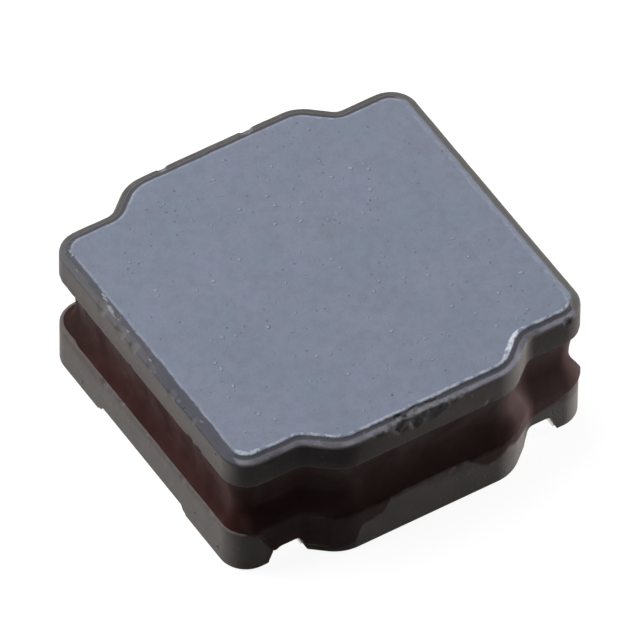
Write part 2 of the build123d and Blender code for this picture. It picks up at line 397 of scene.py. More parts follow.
def inside_outline(point):
    """How far a point lies inside the outline seen from above, and the direction that points out."""
    index = outline_tree.find((point[0], point[1], 0))[1]
    out = edge_outward[index]
    depth = -((point[0] - edge_points[index][0]) * out[0] + (point[1] - edge_points[index][1]) * out[1])
    return depth, Vector((out[0], out[1], 0))


print("depth in the middle", round(inside_outline((0, 0))[0], 3), "mm")

# %% [markdown]
# ## Chips
# Ferrite is a hard ceramic: its edges don't bend, they lose small flakes. They could be sculpted, but a
# list can be read and changed: each chip has a centre, a radius and a depth in millimetres, set after
# the photograph. A chip is flat inside and steep at its border, as in any brittle material, and noise
# makes that border ragged.

# %% List the chips and say how deep they reach
chips = [
    ((-0.120, -1.500, 1.145), 0.085, 0.028), ((0.000, -1.500, 1.140), 0.075, 0.020),
    ((-0.235, -1.500, 1.155), 0.080, 0.034), ((0.080, -1.500, 1.150), 0.060, 0.022),
    ((-0.330, -1.500, 1.165), 0.050, 0.014), ((0.190, -1.500, 1.165), 0.035, 0.012),
    ((-0.440, -1.500, 1.160), 0.040, 0.010), ((0.270, -1.500, 1.165), 0.035, 0.010),
    ((-1.500, 0.560, 1.150), 0.060, 0.012), ((-1.500, 0.300, 1.150), 0.055, 0.014),
    ((-1.500, 0.130, 1.150), 0.050, 0.012), ((-1.500, -0.100, 1.150), 0.035, 0.008),
    ((-1.500, -0.400, 1.150), 0.045, 0.010), ((-1.500, -0.700, 1.150), 0.030, 0.008),
    ((-1.500, -0.660, 0.910), 0.045, 0.014), ((-1.500, -0.780, 0.910), 0.038, 0.012),
    ((-1.500, 0.150, 0.910), 0.030, 0.008), ((-1.500, 0.520, 0.395), 0.045, 0.012),
    ((-1.500, 0.300, 0.398), 0.030, 0.009), ((-1.500, -0.560, 0.390), 0.030, 0.010),
    ((-1.500, -0.930, 0.395), 0.026, 0.008), ((0.300, 1.500, 1.150), 0.050, 0.012),
    ((-0.420, 1.500, 1.150), 0.045, 0.010), ((1.300, -1.295, 1.150), 0.040, 0.010),
    ((0.500, -1.500, 0.930), 0.030, 0.008), ((-1.220, -1.295, 1.150), 0.030, 0.008),
]
chip_limit, chip_fade = 0.112, 0.03


def chip_at(point):
    """How deep the chips reach at a point, in mm; they stay near the rim."""
    rim_share = min(1.0, max(0.0, (chip_limit - inside_outline(point)[0]) / chip_fade))
    deepest = 0.0
    for centre, radius, deep in chips:
        gap = (point - Vector(centre)).length * (1 + 0.35 * noise.noise(point * 14.0))
        if gap < radius:
            rag = 0.85 + 0.35 * noise.noise(point * 26.0)
            deepest = max(deepest, deep * rag * (1 - (gap / radius) ** 5))
    return deepest * rim_share


print(len(chips), "chips, up to", max(deep for centre, radius, deep in chips), "mm deep")

# %% [markdown]
# ## Wear
# Tumbling takes a little off every edge. Broad, slow noise makes the edges uneven, and fine noise
# crumbles the rim. A point only ever moves inwards, so the size of the part stays as it is.


# %% Say where a worn point ends up
def near(value, place, span):
    """1 at the place, falling to 0 at a span from it."""
    return max(0.0, 1 - abs(value - place) / span)


def worn(point, normal):
    """Where a point of the ferrite ends up after wear: always a little further in, never out."""
    depth, out = inside_outline(point)
    near_side = near(max(depth, 0), 0, 0.14)
    near_top = near(point.z, body_top, 0.06)
    near_window = near(point.z, window_bottom, 0.05) + near(point.z, window_top, 0.04)
    crumble = noise.noise(point * 34.0) * 0.6 + noise.noise(point * 75.0) * 0.4
    loss = near_side * near_top * 0.0045 * max(0.0, noise.noise(point * 9.0) + 0.25)
    loss += near_side * near_top * 0.0050 * max(0.0, crumble - 0.05)
    loss += near_side * near_window * 0.006 * max(0.0, noise.noise(point * 21.0) + 0.1)
    flake = chip_at(point)
    moved = point - normal * loss - out * flake
    moved.z -= flake * 0.45 * (point.z > 1)
    return moved


rim_point = Vector((-half_length, 0, body_top))
rim_loss = (worn(rim_point, Vector((-1, 0, 0))) - rim_point).length
print("loss in the middle of the left rim", round(rim_loss, 4), "mm")

# %% [markdown]
# ## Finish the core's mesh
# Every dressed piece ends in the same way: each vertex moves, millimetres become metres, and the
# shading is smooth except at real corners. The core also keeps two numbers at each vertex for its
# paint: how far in it lies, and whether a chip took it. Attributes carry them, because noise in the
# material could not know where the mesh was broken.


# %% Move the vertices and keep two notes on them
def finish_mesh(piece, move, sharp_degrees=40):
    """Move every vertex, turn millimetres into metres and shade smooth except at real corners."""
    mesh = piece.data
    normals = [v.normal.copy() for v in mesh.vertices]
    for vertex, normal in zip(mesh.vertices, normals):
        vertex.co = move(vertex.co.copy(), normal)
    mesh.transform(Matrix.Scale(MM, 4))
    mesh.shade_smooth()
    mesh.set_sharp_from_angle(angle=math.radians(sharp_degrees))
    mesh.update()


def note_on_points(piece, name, values):
    """Keep one number for each vertex, which the finish can read by its name."""
    attribute = piece.data.attributes.new(name, "FLOAT", "POINT")
    attribute.data.foreach_set("value", values)


chip_shows = 0.006
flange_levels = (0.95, 1.0)
rim_depth = [inside_outline(v.co)[0] for v in core.data.vertices]
broken = [min(1.0, chip_at(v.co) / chip_shows) * (v.co.z < flange_levels[0] or v.co.z > flange_levels[1])
          for v in core.data.vertices]
finish_mesh(core, worn)
note_on_points(core, "rim_depth", rim_depth)
note_on_points(core, "broken", broken)
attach(core, "root")
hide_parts("drum_core")
print("ferrite core", len(core.data.polygons), "faces")

# %% [markdown]
# ## The resin
# The resin was wiped round the coil while it was thick and wet, so it fills the gap between the
# flanges with a slightly hollow face, wets both edges, and runs down over the bottom flange in the
# stepped corners. It is one surface of rings again. First comes how far down its skin runs at each
# point of the outline, and how thick it is there.


# %% Say where the skins end
def bump(value, centre, half, soft):
    """1 within half of the centre, fading to 0 over soft."""
    return 1 - smooth(np.abs(value - centre), half, half + soft)


edge_x, edge_y = edge_points[:, 0], edge_points[:, 1]
wander = np.array([noise.noise(Vector((x * 2.1, y * 2.1, 4.0))) for x, y in edge_points])
ripple = np.array([noise.noise(Vector((x * 7.0, y * 7.0, 9.0))) for x, y in edge_points])

# the front skins, read off the photograph: where their lower edge turns, along X and up
front_x = [-1.44, -1.36, -1.30, -1.25, -1.20, -1.00, -0.93, -0.80, -0.70, -0.62, -0.57, -0.40, -0.32,
           0.00, 0.30, 0.40, 0.50, 0.60, 0.69, 0.78, 0.86, 0.96, 1.13, 1.30, 1.40, 1.46]
front_z = [0.43, 0.40, 0.36, 0.25, 0.14, 0.10, 0.08, 0.06, 0.07, 0.10, 0.25, 0.28, 0.39,
           0.42, 0.41, 0.33, 0.26, 0.29, 0.34, 0.29, 0.26, 0.27, 0.31, 0.37, 0.40, 0.43]
front = smooth(-edge_outward[:, 1], 0.10, 0.35) * smooth(np.abs(edge_x), 0.62, 0.92) * (edge_y < -1.2)
front = front * (1 - smooth(-edge_x, 1.33, 1.46))
front_low = np.interp(edge_x, front_x, front_z) + 0.016 * wander + 0.012 * ripple

# the back runs over the leads, at the grooves
lead_run = bump(np.abs(edge_x), groove_x, 0.085, 0.075) * (edge_y > 1.2)
back_low = 0.42 - 0.24 * lead_run

no_skin = 0.43
skin_low = np.where(edge_y < 0, front_low, back_low)
skin_low = np.where((front > 0) | (lead_run > 0), skin_low, no_skin)
skin_share = np.where(edge_y < 0, front, lead_run)
front_cover = 0.022 + 0.006 * bump(np.abs(edge_x), groove_x, 0.08, 0.14)
lead_cover = 0.165
cover = np.where(edge_y < 0, front_cover, lead_cover)
print("the skins run down to", round(float(skin_low[skin_share > 0.5].min()), 3), "mm")

# %% [markdown]
# ## Rings of resin
# At each height, a ring says how deep inside the outline the resin lies, or how far outside. Between
# the flanges it is hollow like a waist. At the height of the bottom flange the mesh is buried in the
# ferrite, apart from the skins, which come out over it. Towards the two ends the buried part stops
# above the reliefs, so that it doesn't show in them.

# %% Draw one ring of resin
skin_start = 0.035
lowest = skin_start + 0.105 * (1 - smooth(np.abs(edge_y), 0.80, 1.10))
squeeze = (window_bottom - lowest) / (window_bottom - skin_start)
buried = 0.030
hollow = 0.058 + 0.006 * wander
bare_corner = 0.050 * bump(edge_y, 1.22, 0.10, 0.24) * smooth(np.abs(edge_x), 1.12, 1.26)


def resin_ring(z):
    """One ring of the resin's surface: the ring between the flanges, and the skins outside it."""
    share = np.clip((z - window_bottom) / (window_top - window_bottom), 0, 1)
    skin = smooth(z, skin_low - 0.030, skin_low + 0.035) * skin_share
    spread = 1 - smooth(z, window_bottom + 0.03, window_bottom + 0.22)
    waist = hollow * np.sin(math.pi * share ** 0.8) ** 0.8
    edge = 0.010 + bare_corner * (1 - 0.5 * share) + 0.016 * share
    if z > window_bottom:
        inset, height = edge + waist, z
    else:
        inset, height = buried, window_bottom - (window_bottom - z) * squeeze
    return ring(inset * (1 - skin * spread) - cover * skin * spread, height)


middle_ring = resin_ring((window_bottom + window_top) / 2)
print("resin at half height is", round(float(np.ptp(middle_ring[:, 0])), 3), "mm long")

# %% [markdown]
# ## Build the resin
# The rings lie close together, because the lower edges of the skins run slantwise across them. The
# grooves are cut out of the resin with the same tool as out of the ferrite, with a hair more room, so
# that no skin hangs across their mouths. Last, slow noise moves the surface a little, as in real resin
# that set before it had levelled out.

# %% Stack the rings and cut the grooves free
groove_room = 0.002
resin_top = window_top - 0.001
resin_heights = np.concatenate([np.linspace(skin_start, window_bottom, 44),
                                np.linspace(window_bottom + 0.003, resin_top, 46)])
resin_rings = [ring(0.13, 0.20), ring(0.06, lowest)]
resin_rings += [resin_ring(z) for z in resin_heights]
resin_rings += [ring(0.15, resin_top)]
resin = surface_from_rings("resin", resin_rings)
for side in (-1, 1):
    apply_boolean(resin, groove_tool(side, groove_room), "DIFFERENCE")


def settled(point, normal):
    """The resin's small unevenness, kept shallow so that it stays between the flanges."""
    swell = 0.0014 * noise.noise(point * 4.0) + 0.0007 * noise.noise(point * 17.0)
    moved = point + Vector((normal.x, normal.y, 0)) * swell
    moved.y = min(max(moved.y, -half_width), half_width)
    return moved


finish_mesh(resin, settled, 60)
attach(resin, "root")
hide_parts("resin_fill")
print("resin", len(resin.data.polygons), "faces")

# %% [markdown]
# ## The solder
# Each wire end lies in a groove that is filled with solder. Molten solder pulls itself into smooth
# curves: its face sinks a little between the walls, it thins out over the plating where it ends, and it
# creeps up the wire to where the enamel starts. Metaballs flow together in that way too, but they
# wouldn't keep to the walls. One closed skin of rings along the wire shows all three: each ring is a
# rounded box in the groove, and turns into a circle on the wire.

# %% Draw one ring of solder
solder_start, solder_fade = -0.87, 0.24
solder_bottom, solder_roof, solder_edge = 0.018, 0.1725, 0.004
solder_half_mouth, solder_taper = 0.1425, 0.26
solder_sag = 0.014
wire_corner_radius, solder_skin = 0.066, 0.0025
narrow_from, narrow_to = 1.08, 1.26
lead_z = 0.110
bend_start, bend_radius = 1.275, 0.09
ring_steps = 36


def rounded_share(value, sharpness=0.28):
    """A sine or cosine pushed towards 1 or -1, which turns a circle into a rounded box."""
    return math.copysign(abs(value) ** sharpness, value)


def solder_ring(side, along):
    """One ring of solder round the wire, at a distance along it; past bend_start it turns upwards."""
    turn = max(0.0, along - bend_start) / bend_radius
    on_wire = smooth(along, narrow_from, narrow_to)
    filled = smooth(along, solder_start, solder_start + solder_fade)
    uneven = 0.004 * noise.noise(Vector((side, along * 3.0, 0)))
    thin_bottom = solder_roof - solder_edge
    bottom = thin_bottom - (thin_bottom - solder_bottom) * filled + uneven * filled
    middle, half_height = (solder_roof + bottom) / 2, (solder_roof - bottom) / 2
    wire_skin = wire_corner_radius + solder_skin - 0.010 * smooth(turn, 0.75, 1.0)
    points = []
    for step in range(ring_steps):
        angle = 2 * math.pi * step / ring_steps
        c, s = math.cos(angle), math.sin(angle)
        sag = solder_sag * max(0.0, -s) ** 3 * filled
        box_z = middle + half_height * rounded_share(s) + sag
        box_x = (solder_half_mouth - (box_z - solder_bottom) * solder_taper) * rounded_share(c)
        across = box_x * (1 - on_wire) + wire_skin * c * on_wire
        up = (box_z - lead_z) * (1 - on_wire) + wire_skin * s * on_wire
        y = min(along, bend_start) + (bend_radius - up) * math.sin(turn)
        z = lead_z + bend_radius - (bend_radius - up) * math.cos(turn)
        points.append((side * groove_x + across, y, z))
    return np.array(points)


print("solder is", round(float(np.ptp(solder_ring(1, 0.0)[:, 0])), 3), "mm wide in the groove")

# %% Build the two fills
solder_places = np.concatenate([np.linspace(solder_start, -0.60, 16), np.linspace(-0.5, 1.0, 24),
                                np.linspace(1.04, bend_start + 1.1 * bend_radius, 24)])
solder_fills = {}
for side, word in ((-1, "left"), (1, "right")):
    fill = surface_from_rings(f"solder_fill_{word}", [solder_ring(side, s) for s in solder_places])
    recalculate_outside(fill)
    finish_mesh(fill, lambda point, normal: point, 60)
    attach(fill, "root")
    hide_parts(f"solder_{word}")
    solder_fills[word] = fill
print("solder", [len(fill.data.polygons) for fill in solder_fills.values()], "faces")

# %% [markdown]
# ## Values and networks
# A finish is a network of nodes. To keep it readable, one class wraps a socket, so that sums on values
# are written as sums, and each operator adds the Math node that does it. The reflected forms serve sums
# that start with a plain number, such as 1 - mask.


# %% A value that sums can be written with
def pick(sockets, key):
    """The socket with this identifier or name."""
    for socket in sockets:
        if socket.identifier == key:
            return socket
    return next(socket for socket in sockets if socket.name == key and socket.enabled)


class Value:
    """A socket in a network of nodes. Sums on it add Math nodes."""

    def __init__(self, network, socket):
        self.network, self.socket = network, socket

    def maths(self, operation, *values):
        """The Math node for an operation on one or two values."""
        sockets = dict(zip(("Value", "Value_001"), values))
        return self.network.node("Math", {"operation": operation}, sockets)

    def __add__(self, other):
        return self.maths("ADD", self, other)

    def __radd__(self, other):
        return self.maths("ADD", other, self)

    def __sub__(self, other):
        return self.maths("SUBTRACT", self, other)

    def __rsub__(self, other):
        return self.maths("SUBTRACT", other, self)

    def __mul__(self, other):
        return self.maths("MULTIPLY", self, other)

    def __rmul__(self, other):
        return self.maths("MULTIPLY", other, self)

    def __truediv__(self, other):
        return self.maths("DIVIDE", self, other)

    def __rtruediv__(self, other):
        return self.maths("DIVIDE", other, self)

    def __abs__(self):
        return self.maths("ABSOLUTE", self)

    def most(self, other):
        """The larger of two values."""
        return self.maths("MAXIMUM", self, other)

    def output(self, key):
        """Another output of the same node."""
        return Value(self.network, pick(self.socket.node.outputs, key))


print("reflected forms", [name for name in vars(Value) if name.startswith("__r")])

# %% [markdown]
# Any other node comes from one method. It takes the node's type and its settings, which are set first
# because some of them change which sockets there are, and then the values or links of its sockets.
# Colours are mixed by a Mix node, since a Math node would turn them grey.


# %% A network that takes any node
class Network:
    """A tree of nodes under construction."""

    def __init__(self, tree):
        self.tree = tree

    def node(self, kind, settings, values, result=None):
        """Add a node: settings first, then the values or links of its sockets."""
        node = self.tree.nodes.new("ShaderNode" + kind)
        for key, setting in settings.items():
            if key == "stops":
                ramp = node.color_ramp.elements
                while len(ramp) > 1:
                    ramp.remove(ramp[-1])
                for i, (position, colour) in enumerate(setting):
                    stop = ramp[0] if i == 0 else ramp.new(position)
                    stop.position, stop.color = position, (*colour, 1)
            else:
                setattr(node, key, setting)
        for key, value in values.items():
            self.put(pick(node.inputs, key), value)
        return Value(self, pick(node.outputs, result) if result else node.outputs[0])

    def put(self, socket, value):
        """Link a Value to a socket, or set the socket to a number or a colour."""
        if isinstance(value, Value):
            self.tree.links.new(value.socket, socket)
        elif socket.type == "RGBA":
            socket.default_value = (*value, 1)
        else:
            socket.default_value = value

    def mix(self, share, a, b):
        """From colour a at a share of 0 to colour b at 1."""
        return self.node("Mix", {"data_type": "RGBA", "blend_type": "MIX"},
                         {"Factor_Float": share, "A_Color": a, "B_Color": b}, "Result_Color")


print("ways to fill a network", [name for name in vars(Network) if not name.startswith("_")])

# %% [markdown]
# ## What every finish needs
# A material starts from its Principled shader and from the place on the part in millimetres. Object
# coordinates give that place, so a pattern stays on the surface when the part turns. Colour is then
# painted in layers: each one goes over what is there, by a share between 0 and 1.


# %% A finish
class Finish(Network):
    """A material under construction, with its shader and the colour painted so far."""

    def __init__(self, name):
        self.material = bpy.data.materials.new(name)
        self.material.use_nodes = True
        super().__init__(self.material.node_tree)
        self.shader = self.tree.nodes["Principled BSDF"]
        self.place = self.node("VectorMath", {"operation": "SCALE"},
                               {"Vector": self.node("TexCoord", {}, {}, "Object"), "Scale": 1 / MM})
        self.colour = None

    def set(self, **values):
        """Values or links of the shader's own sockets, with their names in one word."""
        for key, value in values.items():
            self.put(self.shader.inputs[key.replace("_", " ")], value)

    def paint(self, share, colour):
        """One more layer of colour over what is there."""
        self.colour = self.mix(share, self.colour, colour)

    def height(self, value, strength, distance):
        """A Bump node that feeds the shader's normal; distance is in millimetres."""
        bump_node = self.node("Bump", {}, {"Height": value, "Strength": strength,
                                           "Distance": distance * MM}, "Normal")
        self.put(self.shader.inputs["Normal"], bump_node)

    def dress(self, piece):
        """Make this the only material of a dressed piece."""
        piece.data.materials.clear()
        piece.data.materials.append(self.material)
        print(self.material.name, "has", len(self.tree.nodes), "nodes")

    def axes(self):
        """The place along X, Y and Z, in millimetres."""
        x = self.node("SeparateXYZ", {}, {"Vector": self.place}, "X")
        return x, x.output("Y"), x.output("Z")

    def noise(self, scale, detail=2.0, rough=0.5, place=None, result="Fac"):
        """Clouds of a size of about 1 / scale mm."""
        return self.node("TexNoise", {}, {"Vector": place or self.place, "Scale": scale,
                                          "Detail": detail, "Roughness": rough}, result)

    def between(self, value, low, high):
        """0 below low, 1 above high, with a soft ramp between."""
        return self.node("MapRange", {"interpolation_type": "SMOOTHSTEP"},
                         {"Value": value, "From Min": low, "From Max": high}, "Result")


ferrite = Finish("ferrite_ceramic")
print("a new finish has", len(ferrite.tree.nodes), "nodes")

# %% [markdown]
# ## Ferrite: top and sides
# The top face was ground flat. It is painted lighter and bluer than the sides: partly its ground finish,
# partly painted sheen that stands for the lamp above reflecting in it. It is mottled by the grains below
# it.
# The sides are as they came from the press: warmer and duller. Clouds of three sizes vary both colours,
# because fired ferrite is never one even grey. An image could carry all this too, but it would need a flat
# layout of the mesh and would blur up close, and noise in the place on the part does neither.

# %% Paint the top and the sides
sideways, along, up = ferrite.axes()
ground = ferrite.between(up, body_top - 0.012, body_top - 0.003)
tint = ferrite.noise(2.1, 3.0, 0.55)
patches = ferrite.noise(5.5, 4.0, 0.6)
mottle = ferrite.noise(13.0, 3.0, 0.6)

side_colour = ferrite.mix(ferrite.between(patches, 0.35, 0.70),
                          (0.168, 0.150, 0.138), (0.146, 0.134, 0.126))
# the top's colour, lighter and bluer than the sides: partly its ground finish, partly painted sheen
ferrite.colour = ferrite.mix(ferrite.between(tint, 0.34, 0.66),
                             (0.228, 0.250, 0.316), (0.212, 0.246, 0.304))
ferrite.paint(ferrite.between(patches, 0.45, 0.75) * 0.5, (0.208, 0.206, 0.256))
ferrite.paint(ferrite.between(mottle, 0.46, 0.64) * 0.35, (0.186, 0.202, 0.250))
ferrite.paint(ferrite.between(mottle, 0.42, 0.30) * 0.15, (0.270, 0.300, 0.360))
ferrite.colour = ferrite.mix(ground, side_colour, ferrite.colour)
print("nodes so far", len(ferrite.tree.nodes))

# %% [markdown]
# ## Ferrite: the rim of the straight sides
# Here the rim is a slope that tilts away from the lamp above, so it is painted dark and bluish as painted
# shade: darkest on the front, lighter at the back and at the +X end. A line of darker painted shade runs
# along its inner end, and slivers of pale, broken ferrite lie along it. The attribute rim_depth says how
# far in a point lies, and two noises make every border on the rim ragged, as it is in a brittle material.

# %% Paint shade on the slope
depth_in = ferrite.node("Attribute", {"attribute_name": "rim_depth"}, {}, "Fac")
ragged = ferrite.noise(6.0, 5.0, 0.7)
crumbs = ferrite.noise(16.0, 4.0, 0.7)
reach = depth_in + 0.030 * (ragged - 0.5) + 0.016 * (crumbs - 0.5)
top_level = ferrite.between(up, body_top - 0.050, body_top - 0.036)

# at the -X, -Y corner the slope gives way to the ledge a bit further out
left_corner = (1 - ferrite.between(sideways, -1.38, -1.15)) * (1 - ferrite.between(along, -1.16, -1.08))
straight = ferrite.between(abs(sideways) - 0.055 * left_corner, half_length - 0.125, half_length - 0.105)
right_end = ferrite.between(sideways, 0.0, 1.0)
# the slope is painted shade: dark on the front, lighter at the back and at the +X end
slope = (1 - ferrite.between(reach + 0.030 * right_end, 0.078, 0.096)) * top_level * straight
slope_shade_colour = ferrite.mix(ferrite.between(along, -0.35, 0.15),
                           (0.066, 0.065, 0.082), (0.104, 0.101, 0.108))
ferrite.paint(slope * 0.9, ferrite.mix(right_end, slope_shade_colour, (0.112, 0.108, 0.100)))

# a line of painted shade at the slope's inner end
inner_shade_line = ferrite.between(reach + 0.03 * (ragged - 0.5), 0.040, 0.056) * slope
inner_shade_line = inner_shade_line * ferrite.between(crumbs, 0.34, 0.48) * (1 - right_end)
ferrite.paint(inner_shade_line * 0.75, (0.070, 0.069, 0.084))
print("nodes so far", len(ferrite.tree.nodes))


# %% Add the slivers
def band(finish, value, start, full, fade, end):
    """1 from full to fade, and 0 before start and after end."""
    return finish.between(value, start, full) * (1 - finish.between(value, fade, end))


def stretched(finish, x, y, z):
    """The place with each axis scaled; a factor below 1 draws a pattern out along that axis."""
    return finish.node("VectorMath", {"operation": "MULTIPLY"},
                       {"Vector": finish.place, "Vector_001": (x, y, z)})


flaky = band(ferrite, along, 0.05, 0.15, 0.70, 0.85)
slivers = ferrite.noise(17.0, 3.0, 0.6, place=stretched(ferrite, 1.0, 0.35, 1.0))
flakes = ferrite.between(slivers + 0.05 * flaky, 0.60, 0.66) * ferrite.between(reach, 0.030, 0.045)
flakes = flakes * slope * (1 - right_end) * ferrite.between(along, -0.9, -0.6)
ferrite.paint(flakes * 0.85, (0.31, 0.305, 0.31))
print("nodes so far", len(ferrite.tree.nodes))

# %% [markdown]
# ## Ferrite: the rim of the stepped sides
# From outside in, this rim has a ledge, a step into an inner corner, and a crumbly crest at the edge of
# the ground face. The ledge is a painted highlight, pale on the front and darker at the back. The inner
# corner is a line of painted shade. The crest is a bright painted highlight, brightest at the right ramp.
# Fresh breaks are matt, grey and a bit warmer.

# %% Paint the ledge's highlight and the corner's shade
stepped_rim = top_level * (1 - straight)
back_side = ferrite.between(along, 0.9, 1.2)
# the ledge is a painted highlight, pale on the front and darker at the back
ledge = band(ferrite, reach, 0.004, 0.016, 0.036, 0.052) * stepped_rim
ledge = ledge * (0.6 + 0.4 * ferrite.between(crumbs, 0.38, 0.52))
ledge_tone = ferrite.between(ferrite.noise(3.0, 3.0, 0.6), 0.38, 0.62)
ledge_highlight_colour = ferrite.mix(ledge_tone, (0.085, 0.084, 0.108), (0.235, 0.232, 0.290))
ferrite.paint(ledge * 0.9, ferrite.mix(back_side, ledge_highlight_colour, (0.090, 0.088, 0.084)))
# a line of painted shade in the inner corner
corner_shade_line = band(ferrite, reach, 0.046, 0.056, 0.078, 0.088) * stepped_rim
ferrite.paint(corner_shade_line * 0.85, (0.052, 0.052, 0.070))
print("nodes so far", len(ferrite.tree.nodes))

# %% Paint the crest's highlight and the breaks
# the crest is a painted highlight, brightest at the right ramp
right_ramp = band(ferrite, sideways, 0.66, 0.78, 0.92, 1.02)
crest_end = reach - 0.024 * (right_ramp * (1 - ferrite.between(along, -1.3, -1.1)) + left_corner)
crest = ferrite.between(reach, 0.084, 0.092) * (1 - ferrite.between(crest_end, 0.100, 0.114)) * top_level
crest = crest * ferrite.between(crumbs, 0.38, 0.56) * (1 - 0.8 * straight) * (1 - 0.8 * back_side)
ferrite.paint(crest * 0.85, ferrite.mix(right_ramp, (0.52, 0.54, 0.60), (0.78, 0.80, 0.86)))

fresh = ferrite.node("Attribute", {"attribute_name": "broken"}, {}, "Fac")
broken_colour = ferrite.mix(ferrite.between(crumbs, 0.36, 0.62),
                            (0.120, 0.118, 0.126), (0.270, 0.265, 0.270))
ferrite.paint(fresh * (0.9 - 0.75 * straight), broken_colour)
print("nodes so far", len(ferrite.tree.nodes))

# %% [markdown]
# ## Ferrite: resin film, painted shade and painted light on the front
# Wiping left a film of resin on the front of both flanges that is too thin to have a shape of its own,
# so it is only paint. On the top flange it darkens the wetted lower edge. The whole front of the top
# flange is also darkened with painted shade, most at its left end, with more painted shade at its right
# end. The right end of the bottom flange's front is lightened with painted light. On the bottom flange the
# film's border follows the same line as the skins of the resin: a colour ramp turns the place along X into
# a height.

# %% Paint shade, light and the wetted edge on the front
front_wall = -pocket_wall_y
near_front = 1 - ferrite.between(along, front_wall + 0.02, front_wall + 0.15)
across = sideways + 0.2 * (ragged - 0.5)
upper = ferrite.between(up, 0.5, 0.6) * (1 - top_level)
# painted shade on the front of the top flange, strongest towards its left end
front_left_shade = band(ferrite, across, -1.42, -1.10, -0.75, -0.10)
front_left_shade = (0.45 + 0.55 * front_left_shade) * (1 - ferrite.between(across, -0.75, 0.0))
ferrite.paint((front_left_shade * 0.85 + 0.12) * near_front * upper, (0.028, 0.022, 0.020))
# painted shade at the right end of the top flange's front
front_right_shade = near_front * ferrite.between(across, 0.86, 0.98) * upper
ferrite.paint(front_right_shade * 0.6, (0.034, 0.029, 0.028))
wetted_edge = near_front * upper * (1 - ferrite.between(up, window_top + 0.014, window_top + 0.036))
ferrite.paint(wetted_edge * 0.75, (0.024, 0.0150, 0.0135))
# painted light on the right end of the bottom flange's front
foot_light_right = near_front * ferrite.between(across, 0.86, 1.05) * (1 - ferrite.between(up, 0.5, 0.6))
ferrite.paint(foot_light_right * 0.35, (0.27, 0.26, 0.25))
print("nodes so far", len(ferrite.tree.nodes))

# %% Draw the film on the bottom flange
film_start, film_end, film_top = -half_length, half_length, 0.5
stops = [((x - film_start) / (film_end - film_start), (z / film_top,) * 3)
         for x, z in zip(front_x, front_z)]
film_place = (sideways + 0.05 * (ragged - 0.5) - film_start) / (film_end - film_start)
film_edge = ferrite.node("ValToRGB", {"stops": stops}, {"Fac": film_place}, "Color") * film_top
film = ferrite.between(up + 0.05 * (crumbs - 0.5) - film_edge, -0.030, 0.020)
film = film * (1 - ferrite.between(along, front_wall + 0.03, front_wall + 0.05))
film = film * (1 - ferrite.between(up, window_bottom + 0.02, window_bottom + 0.05))
ferrite.paint(film * 0.97, (0.026, 0.0130, 0.0115))
print("stops on the film's ramp", len(stops))

# %% [markdown]
# ## Ferrite: stains, pores and gloss
# On the other sides the resin left only a stain along the two edges it touched. Last come small dark
# pores, pale specks and the grain, which don't show through the film. The same patterns drive a faint
# relief, so that a pore is both dark and sunk. Round spots on an even grid would look printed, so a
# cell pattern places them, noise bends them, and chance leaves most cells empty.

# %% Stain the edges
broad_clouds = ferrite.between(ferrite.noise(0.9, 1.0), 0.45, 0.70)
stain_line = 0.10 * ferrite.noise(4.0, 3.0, 0.6) + 0.08 * broad_clouds
stain = ferrite.between(up + stain_line, window_bottom - 0.030, window_bottom + 0.060)
stain = stain * (1 - ferrite.between(up, window_bottom + 0.02, window_bottom + 0.05)) * (1 - film)
ferrite.paint(stain * 0.65, (0.105, 0.080, 0.073))
blush = 1 - ferrite.between(up + stain_line, window_top + 0.10, window_top + 0.22)
ferrite.paint(blush * ferrite.between(up, 0.8, 0.9) * 0.45, (0.125, 0.102, 0.100))
print("nodes so far", len(ferrite.tree.nodes))


# %% Add pores, specks and gloss
def dots(finish, scale, size, share, seed):
    """Separate spots: a share of the cells of a pattern hold one, each of its own size."""
    bent = finish.node("VectorMath", {"operation": "MULTIPLY_ADD"},
                       {"Vector": finish.noise(scale * 2.5, 2.0, 0.5, result="Color"),
                        "Vector_001": (0.5 / scale,) * 3, "Vector_002": finish.place})
    moved = finish.node("VectorMath", {"operation": "ADD"},
                        {"Vector": bent, "Vector_001": (seed, seed * 0.37, seed * 0.71)})
    cell = finish.node("TexVoronoi", {"feature": "F1"}, {"Vector": moved, "Scale": scale}, "Distance")
    chance = finish.node("SeparateColor", {}, {"Color": cell.output("Color")}, "Red")
    radius = (0.35 + 0.65 * chance.output("Green")) * size
    hit = finish.between(chance, 1 - share, 1 - share + 0.02)
    return (1 - finish.between(cell / radius, 0.55, 1.0)) * hit


bare = 1 - film
grain = ferrite.noise(62.0, 3.0, 0.65)
pores = dots(ferrite, 6.0, 0.12, 0.22, 3.1)
fine_pores = dots(ferrite, 19.0, 0.22, 0.35, 8.7)
specks = dots(ferrite, 12.0, 0.24, 0.36, 5.3) * (0.25 + 0.75 * ground)
ferrite.paint(pores * bare * 0.45, (0.070, 0.074, 0.095))
ferrite.paint(fine_pores * bare * 0.40, (0.110, 0.114, 0.140))
ferrite.paint(specks * bare * 0.55, (0.38, 0.40, 0.45))
ferrite.paint(ferrite.between(grain, 0.3, 0.7) * bare * 0.16, (0.12, 0.12, 0.135))
ferrite.set(Base_Color=ferrite.colour, IOR=1.6, Specular_IOR_Level=0.04)
ferrite.set(Roughness=0.46 + 0.16 * grain - 0.06 * ground + 0.1 * pores + 0.05 * film)
relief_of_grains = grain * 0.25 + patches * 0.3 - pores * 1.2 - fine_pores * 0.6 + specks
ferrite.height(relief_of_grains * bare, 0.8, 0.008)
ferrite.dress(core)

# %% [markdown]
# ## Resin finish
# The resin is dark red-brown and full of metal powder. It is painted darker and less red at the back and
# on the front, which is painted shade, and lighter at the front's right end, which is painted light.
# Streaks follow the way it was wiped, along the gap: the same noise as anywhere, but with its place
# squeezed along Z.

